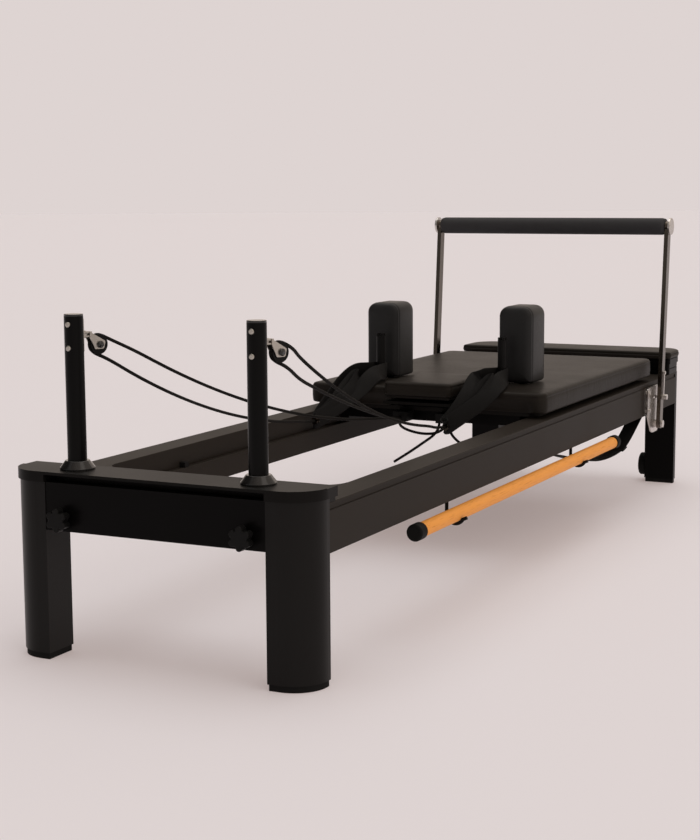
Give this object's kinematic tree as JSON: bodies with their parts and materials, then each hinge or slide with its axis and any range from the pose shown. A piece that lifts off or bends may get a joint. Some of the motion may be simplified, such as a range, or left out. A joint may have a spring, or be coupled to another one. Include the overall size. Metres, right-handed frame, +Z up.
{
  "type": "pilates reformer",
  "caption": "Spring-loaded sliding carriage bed for pilates with footbar, rope posts with pulleys, shoulder rests, headrest, foot platform and pole.",
  "frame": {"origin": "on the floor under the middle of the machine", "axes": "+Z up, +Y along the machine from the rope posts to the footbar, +X towards the side that carries the wooden pole"},
  "size_m": [0.77, 2.575, 0.8327],
  "materials": {
    "black_frame": "satin",
    "pad_vinyl": "matte",
    "foam_grip": "matte",
    "nickel": "satin",
    "zinc_plate": "satin",
    "black_plastic": "satin",
    "gloss_black": "gloss",
    "rubber_black": "matte",
    "plywood": "matte",
    "beech": "satin",
    "rope": "matte",
    "webbing": "matte",
    "spring_steel": "satin"
  },
  "bodies": {
    "frame": {"rail_left": "black_frame", "rail_right": "black_frame", "legs_head": "black_frame", "legs_foot": "black_frame", "leg_pads": "rubber_black", "head_beam": "black_frame", "foot_beam": "black_frame", "head_cap": "black_frame", "head_cross_plate": "black_frame", "post_collars": "gloss_black", "platform_board": "black_frame", "platform_pad": "pad_vinyl", "footbar_bracket_left": "nickel", "footbar_bracket_right": "nickel", "spring_bar": "black_frame", "carriage_stops": "rubber_black", "pole_hooks": "nickel", "under_strap": "webbing", "transport_axles": "nickel", "springs": "spring_steel", "rope_left": "rope", "rope_right": "rope"},
    "post_left": {"post_left": "black_frame", "post_plug_left": "black_plastic", "pulley_mount_left": "zinc_plate"},
    "post_knob_left": {"post_knob_left": "black_plastic"},
    "pulley_block_left": {"pulley_block_left": "zinc_plate"},
    "pulley_wheel_left": {"pulley_wheel_left": "black_plastic"},
    "footbar_lock_left": {"footbar_lock_left": "nickel"},
    "shoulder_rest_left": {"shoulder_rest_left": "pad_vinyl"},
    "transport_wheel_left": {"transport_wheel_left": "rubber_black"},
    "post_right": {"post_right": "black_frame", "post_plug_right": "black_plastic", "pulley_mount_right": "zinc_plate"},
    "post_knob_right": {"post_knob_right": "black_plastic"},
    "pulley_block_right": {"pulley_block_right": "zinc_plate"},
    "pulley_wheel_right": {"pulley_wheel_right": "black_plastic"},
    "footbar_lock_right": {"footbar_lock_right": "nickel"},
    "shoulder_rest_right": {"shoulder_rest_right": "pad_vinyl"},
    "transport_wheel_right": {"transport_wheel_right": "rubber_black"},
    "footbar": {"footbar_frame": "nickel", "footbar_grip": "foam_grip", "footbar_end_caps": "nickel"},
    "carriage": {"carriage_frame": "black_frame", "carriage_board": "plywood", "carriage_pad": "pad_vinyl", "headrest_shelf": "black_frame", "strap_pegs": "black_plastic", "rope_cleats": "black_plastic", "strap_loop_left": "webbing", "strap_loop_right": "webbing", "loop_eyelets": "nickel", "rope_tail_left": "rope", "rope_tail_right": "rope"},
    "headrest": {"headrest_board": "plywood", "headrest_pad": "pad_vinyl"},
    "wheels_front": {"carriage_wheels_front": "black_plastic"},
    "wheels_rear": {"carriage_wheels_rear": "black_plastic"},
    "pole": {"pole": "beech", "pole_caps": "rubber_black"}
  },
  "joints": [
    {"name": "post_height_left", "type": "slide", "parent": "frame", "child": "post_left", "axis": [0, 0, 1], "range_m": [0, 0.05], "deforming": ["rope_left"]},
    {"name": "post_knob_turn_left", "type": "hinge", "parent": "frame", "child": "post_knob_left", "pos_m": [-0.205, -1.2805, 0.29], "axis": [0, 1, 0], "range_deg": [0, 360]},
    {"name": "pulley_swivel_left", "type": "hinge", "parent": "post_left", "child": "pulley_block_left", "pos_m": [-0.205, -1.1735, 0.645], "axis": [0, 0, 1], "range_deg": [-50, 60], "deforming": ["rope_left"]},
    {"name": "pulley_spin_left", "type": "hinge", "parent": "pulley_block_left", "child": "pulley_wheel_left", "pos_m": [-0.19406, -1.14343, 0.6235], "axis": [0.9397, -0.342, 0], "continuous": true, "deforming": ["rope_left"]},
    {"name": "footbar_lock_pull_left", "type": "slide", "parent": "footbar", "child": "footbar_lock_left", "axis": [-1, 0, 0], "range_m": [0, 0.008], "stiffness_N_per_m": 600, "springref_m": -0.01},
    {"name": "shoulder_rest_lift_left", "type": "slide", "parent": "carriage", "child": "shoulder_rest_left", "axis": [0, 0, 1], "range_m": [0, 0.05]},
    {"name": "transport_wheel_spin_left", "type": "hinge", "parent": "frame", "child": "transport_wheel_left", "pos_m": [-0.233, 1.2495, 0.05], "axis": [1, 0, 0], "continuous": true},
    {"name": "post_height_right", "type": "slide", "parent": "frame", "child": "post_right", "axis": [0, 0, 1], "range_m": [0, 0.05], "deforming": ["rope_right"]},
    {"name": "post_knob_turn_right", "type": "hinge", "parent": "frame", "child": "post_knob_right", "pos_m": [0.205, -1.2805, 0.29], "axis": [0, 1, 0], "range_deg": [0, 360]},
    {"name": "pulley_swivel_right", "type": "hinge", "parent": "post_right", "child": "pulley_block_right", "pos_m": [0.205, -1.1735, 0.645], "axis": [0, 0, 1], "range_deg": [-50, 60], "deforming": ["rope_right"]},
    {"name": "pulley_spin_right", "type": "hinge", "parent": "pulley_block_right", "child": "pulley_wheel_right", "pos_m": [0.21594, -1.14343, 0.6235], "axis": [0.9397, -0.342, 0], "continuous": true, "deforming": ["rope_right"]},
    {"name": "footbar_lock_pull_right", "type": "slide", "parent": "footbar", "child": "footbar_lock_right", "axis": [1, 0, 0], "range_m": [0, 0.008], "stiffness_N_per_m": 600, "springref_m": -0.01},
    {"name": "shoulder_rest_lift_right", "type": "slide", "parent": "carriage", "child": "shoulder_rest_right", "axis": [0, 0, 1], "range_m": [0, 0.05]},
    {"name": "transport_wheel_spin_right", "type": "hinge", "parent": "frame", "child": "transport_wheel_right", "pos_m": [0.233, 1.2495, 0.05], "axis": [1, 0, 0], "continuous": true},
    {"name": "footbar_tilt", "type": "hinge", "parent": "frame", "child": "footbar", "pos_m": [0, 0.9465, 0.225], "axis": [1, 0, 0], "range_deg": [-85, 40]},
    {"name": "carriage_slide", "type": "slide", "parent": "frame", "child": "carriage", "axis": [0, -1, 0], "range_m": [0, 0.8], "stiffness_N_per_m": 250, "springref_m": -0.1, "deforming": ["rope_left", "rope_right", "springs"]},
    {"name": "wheel_roll_front", "type": "hinge", "parent": "carriage", "child": "wheels_front", "pos_m": [0, 0.1145, 0.3243], "axis": [1, 0, 0], "range_deg": [0, 2400]},
    {"name": "wheel_roll_rear", "type": "hinge", "parent": "carriage", "child": "wheels_rear", "pos_m": [0, 0.8895, 0.3243], "axis": [1, 0, 0], "range_deg": [0, 2400]},
    {"name": "headrest_tilt", "type": "hinge", "parent": "carriage", "child": "headrest", "pos_m": [0, 0.2115, 0.387], "axis": [-1, 0, 0], "range_deg": [0, 25]},
    {"name": "pole_draw", "type": "slide", "parent": "frame", "child": "pole", "axis": [0, -1, 0], "range_m": [0, 0.25]}
  ],
  "couplings": [
    {"joint": "wheel_roll_front", "follows": "carriage_slide", "rad_per_m": 50},
    {"joint": "wheel_roll_rear", "follows": "carriage_slide", "rad_per_m": 50}
  ]
}
